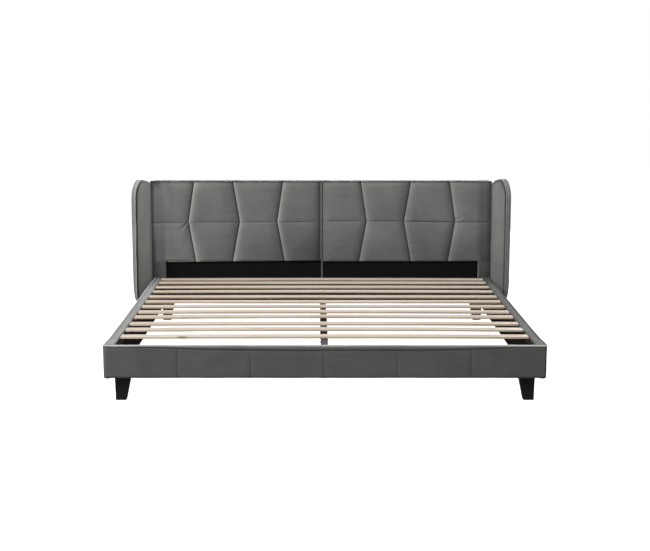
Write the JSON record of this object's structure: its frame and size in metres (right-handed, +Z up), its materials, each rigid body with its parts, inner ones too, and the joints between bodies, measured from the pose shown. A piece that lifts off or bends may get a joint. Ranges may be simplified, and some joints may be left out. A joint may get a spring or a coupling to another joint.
{
  "type": "double bed",
  "caption": "Low upholstered double bed with a quilted headboard in two halves, splayed wings, padded rails on block legs, pine slats and a steel centre beam.",
  "frame": {"origin": "on the floor, under the middle of the bed's outline", "axes": "+X to the right seen from the foot end, +Y towards the headboard, +Z up"},
  "size_m": [2.1022, 2.142, 0.832],
  "materials": {
    "velvet": "grey velvet",
    "black_lining": "black non-woven",
    "back_lining": "black non-woven",
    "board": "raw board",
    "slat_pine": "planed pine",
    "leg_wood": "black stained wood",
    "beam_steel": "grey powder coat",
    "bracket_steel": "black powder coat",
    "zinc": "zinc plated",
    "glide": "matte black"
  },
  "bodies": {
    "frame": {"beam_bracket_front": "bracket_steel", "beam_bracket_rear": "bracket_steel", "centre_beam": "beam_steel", "centre_leg_front": "beam_steel", "centre_leg_rear": "beam_steel", "footboard_board": "board", "footboard_cover": "velvet", "footboard_welt": "velvet", "frame_bolts": "zinc", "frame_screws": "zinc", "front_bracket_left": "bracket_steel", "front_bracket_right": "bracket_steel", "headboard_back_left": "back_lining", "headboard_back_right": "back_lining", "headboard_bolts": "zinc", "headboard_frame_left": "board", "headboard_frame_right": "board", "headboard_lining_left": "black_lining", "headboard_lining_right": "black_lining", "headboard_pad_left": "velvet", "headboard_pad_right": "velvet", "headboard_stile_left": "velvet", "headboard_stile_right": "velvet", "leg_bolts": "zinc", "leg_front_left": "leg_wood", "leg_front_right": "leg_wood", "leg_glides": "glide", "leg_rear_left": "leg_wood", "leg_rear_right": "leg_wood", "rear_bracket_left": "bracket_steel", "rear_bracket_right": "bracket_steel", "side_rail_board_left": "board", "side_rail_board_right": "board", "side_rail_cover_left": "velvet", "side_rail_cover_right": "velvet", "side_rail_welt_left": "velvet", "side_rail_welt_right": "velvet", "slat_01": "slat_pine", "slat_02": "slat_pine", "slat_03": "slat_pine", "slat_04": "slat_pine", "slat_05": "slat_pine", "slat_06": "slat_pine", "slat_07": "slat_pine", "slat_08": "slat_pine", "slat_09": "slat_pine", "slat_10": "slat_pine", "slat_11": "slat_pine", "slat_12": "slat_pine", "slat_ledge_left": "black_lining", "slat_ledge_right": "black_lining", "wing_board_left": "board", "wing_board_right": "board", "wing_pad_left": "velvet", "wing_pad_right": "velvet"},
    "leveller_front": {"leveller_front": "glide"},
    "leveller_rear": {"leveller_rear": "glide"}
  },
  "joints": [
    {"name": "leveller_front_screw", "type": "slide", "parent": "frame", "child": "leveller_front", "axis": [0, 0, 1], "range_m": [-0.008, 0.012]},
    {"name": "leveller_rear_screw", "type": "slide", "parent": "frame", "child": "leveller_rear", "axis": [0, 0, 1], "range_m": [-0.008, 0.012]}
  ]
}
